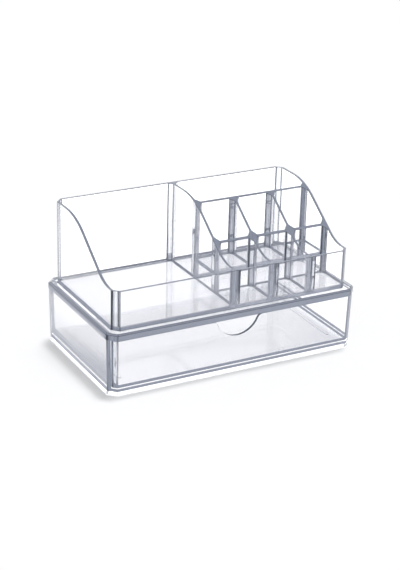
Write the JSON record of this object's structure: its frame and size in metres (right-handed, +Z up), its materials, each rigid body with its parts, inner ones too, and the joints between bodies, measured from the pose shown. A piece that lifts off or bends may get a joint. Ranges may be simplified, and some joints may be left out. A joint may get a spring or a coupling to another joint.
{
  "type": "brush holder with drawer",
  "caption": "Clear moulded organiser: a low case with a sliding drawer and a divided tray with S-curved sides that lifts off its top.",
  "frame": {"origin": "centre of the case's footprint, on the surface it stands on", "axes": "+X to the right along the long side, -Y towards the user and the way the drawer opens, +Z up"},
  "size_m": [0.24, 0.134, 0.1314],
  "materials": {
    "case": "clear injection-moulded polystyrene, polished",
    "cover": "clear injection-moulded polystyrene, polished",
    "drawer": "clear injection-moulded polystyrene, polished",
    "tray": "clear injection-moulded polystyrene, polished"
  },
  "bodies": {
    "case": {"case_body": "case", "case_cover": "cover"},
    "drawer": {"drawer": "drawer"},
    "tray": {"upper_tray": "tray"}
  },
  "joints": [
    {"name": "drawer_slide", "type": "slide", "parent": "case", "child": "drawer", "axis": [0, -1, 0], "range_m": [0, 0.11]},
    {"name": "tray_lift", "type": "slide", "parent": "case", "child": "tray", "axis": [0, 0, 1], "range_m": [0, 0.06]}
  ]
}
